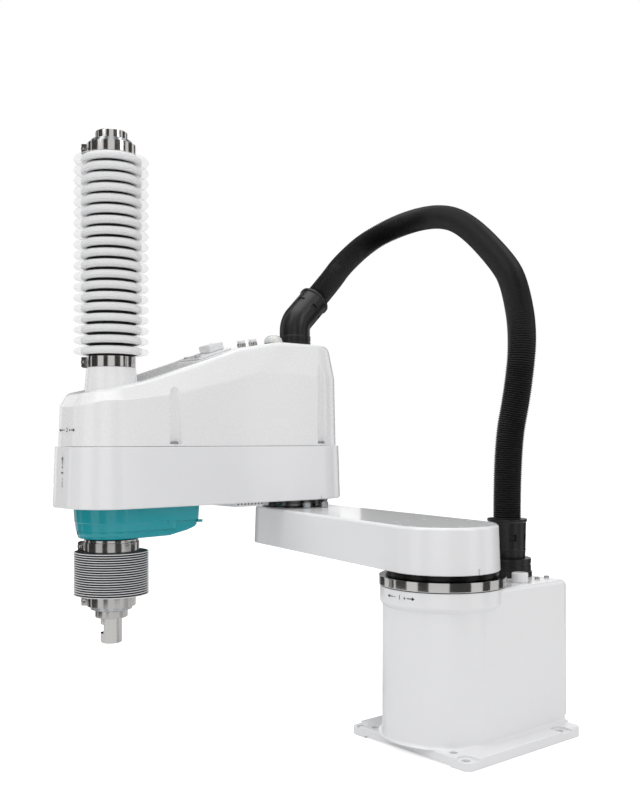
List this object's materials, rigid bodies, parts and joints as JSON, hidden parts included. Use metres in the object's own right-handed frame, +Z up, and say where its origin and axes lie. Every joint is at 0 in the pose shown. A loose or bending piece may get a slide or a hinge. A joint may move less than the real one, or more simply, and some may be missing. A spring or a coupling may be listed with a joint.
{
  "type": "scara robot",
  "caption": "Bench-mounted SCARA robot: two swinging arms on a column base, a bellows-covered lifting and turning spindle at the tip, and a cable hose looping over the joints.",
  "frame": {"origin": "the first joint's axis where it meets the bench, on the base plate's underside", "axes": "+X to the plate's open front, away from the hose, +Y to the left seen from above, +Z up; arm 1 rests at -100 degrees and arm 2 at 0 degrees about +Z, as in the picture"},
  "size_m": [0.5269, 0.4656, 0.679],
  "materials": {
    "white_paint": "glossy white enamel over castings",
    "white_cover": "glossy white moulded cover",
    "teal_paint": "satin teal enamel",
    "polished_steel": "polished bearing steel",
    "brushed_steel": "turned and brushed steel",
    "dark_steel": "blackened steel",
    "black_rubber": "matt black hose",
    "black_plastic": "satin black polymer fittings",
    "bellows_white": "soft translucent white elastomer",
    "bright_screws": "bright zinc plated screws",
    "motor_black": "black anodised motor housings",
    "bare_aluminium": "machined aluminium",
    "belt_rubber": "toothed rubber belt",
    "brass_nickel": "nickel plated brass air fittings",
    "lamp_lens": "frosted pale lamp dome"
  },
  "bodies": {
    "base": {"base_casting": "white_paint", "base_rear_panel": "white_paint", "panel_screws": "bright_screws", "power_connector": "dark_steel", "signal_connectors": "black_plastic", "base_air_ports": "brass_nickel", "base_cap_post": "white_paint", "base_deck_screws": "bright_screws", "hose_base_nut": "black_plastic", "hose_base_fitting": "black_plastic", "j1_bearing_ring": "polished_steel", "j1_reducer": "brushed_steel", "j1_motor": "motor_black", "hose_lower": "black_rubber"},
    "arm_1": {"j1_output_flange": "dark_steel", "arm_1_casting": "white_paint", "arm_1_root_screws": "bright_screws", "arm_1_bottom_cover": "white_paint", "arm_1_cover_screws": "bright_screws", "j2_bearing": "brushed_steel", "j2_stop_pins": "bright_screws"},
    "arm_2": {"j2_reducer": "dark_steel", "j2_motor": "motor_black", "arm_2_casting": "white_paint", "arm_2_cover": "white_cover", "cover_screws": "bright_screws", "underside_vent_box": "white_paint", "spindle_housing": "teal_paint", "housing_screws": "bright_screws", "housing_neck_ring": "polished_steel", "spindle_cone": "white_cover", "upper_bellows": "bellows_white", "lower_bellows": "bellows_white", "upper_clamp_fixed": "dark_steel", "lower_clamp_fixed": "dark_steel", "nut_bearings": "brushed_steel", "drive_bracket": "bare_aluminium", "j3_motor": "motor_black", "j3_belt": "belt_rubber", "j4_motor": "motor_black", "j4_belt": "belt_rubber", "hose_elbow_collar": "black_plastic", "hose_elbow": "black_plastic", "indicator_lamp": "lamp_lens", "cover_air_ports": "brass_nickel", "user_socket": "black_plastic", "hose_upper": "black_rubber"},
    "slider": {"upper_head": "bare_aluminium", "lower_head": "bare_aluminium", "upper_clamp_moving": "dark_steel", "lower_clamp_moving": "dark_steel"},
    "spindle": {"z_shaft": "polished_steel", "shaft_top_collar": "brushed_steel", "shaft_lower_collar": "brushed_steel"},
    "spline_nut_set": {"spline_nut": "brushed_steel", "j4_nut_pulley": "bare_aluminium"},
    "screw_nut_set": {"screw_nut": "brushed_steel", "j3_nut_pulley": "bare_aluminium"},
    "j3_motor_rotor": {"j3_motor_pulley": "bare_aluminium"},
    "j4_motor_rotor": {"j4_motor_pulley": "bare_aluminium"}
  },
  "joints": [
    {"name": "j1_swing", "type": "hinge", "parent": "base", "child": "arm_1", "pos_m": [0, 0, 0.18], "axis": [0, 0, 1], "range_deg": [-25, 225]},
    {"name": "j2_swing", "type": "hinge", "parent": "arm_1", "child": "arm_2", "pos_m": [-0.05644, -0.32006, 0.24], "axis": [0, 0, 1], "range_deg": [-240, 40]},
    {"name": "j3_lift", "type": "slide", "parent": "arm_2", "child": "slider", "axis": [0, 0, 1], "range_m": [-0.18, 0], "deforming": ["upper_bellows", "lower_bellows"]},
    {"name": "j4_turn", "type": "hinge", "parent": "slider", "child": "spindle", "pos_m": [0.21856, -0.32006, 0.38], "axis": [0, 0, 1], "range_deg": [-360, 360]},
    {"name": "spline_nut_turn", "type": "hinge", "parent": "arm_2", "child": "spline_nut_set", "pos_m": [0.21856, -0.32006, 0.25], "axis": [0, 0, 1], "range_deg": [-360, 360]},
    {"name": "j4_motor_turn", "type": "hinge", "parent": "arm_2", "child": "j4_motor_rotor", "pos_m": [0.14356, -0.34806, 0.27], "axis": [0, 0, 1], "range_deg": [-720, 720]},
    {"name": "screw_nut_turn", "type": "hinge", "parent": "arm_2", "child": "screw_nut_set", "pos_m": [0.21856, -0.32006, 0.31], "axis": [0, 0, 1], "range_deg": [0, 3240]},
    {"name": "j3_motor_turn", "type": "hinge", "parent": "arm_2", "child": "j3_motor_rotor", "pos_m": [0.12856, -0.29206, 0.31], "axis": [0, 0, 1], "range_deg": [0, 6480]}
  ],
  "couplings": [
    {"joint": "spline_nut_turn", "follows": "j4_turn", "ratio": 1},
    {"joint": "j4_motor_turn", "follows": "j4_turn", "ratio": 2},
    {"joint": "screw_nut_turn", "follows": "j3_lift", "rad_per_m": -314.16},
    {"joint": "j3_motor_turn", "follows": "j3_lift", "rad_per_m": -628.32}
  ]
}
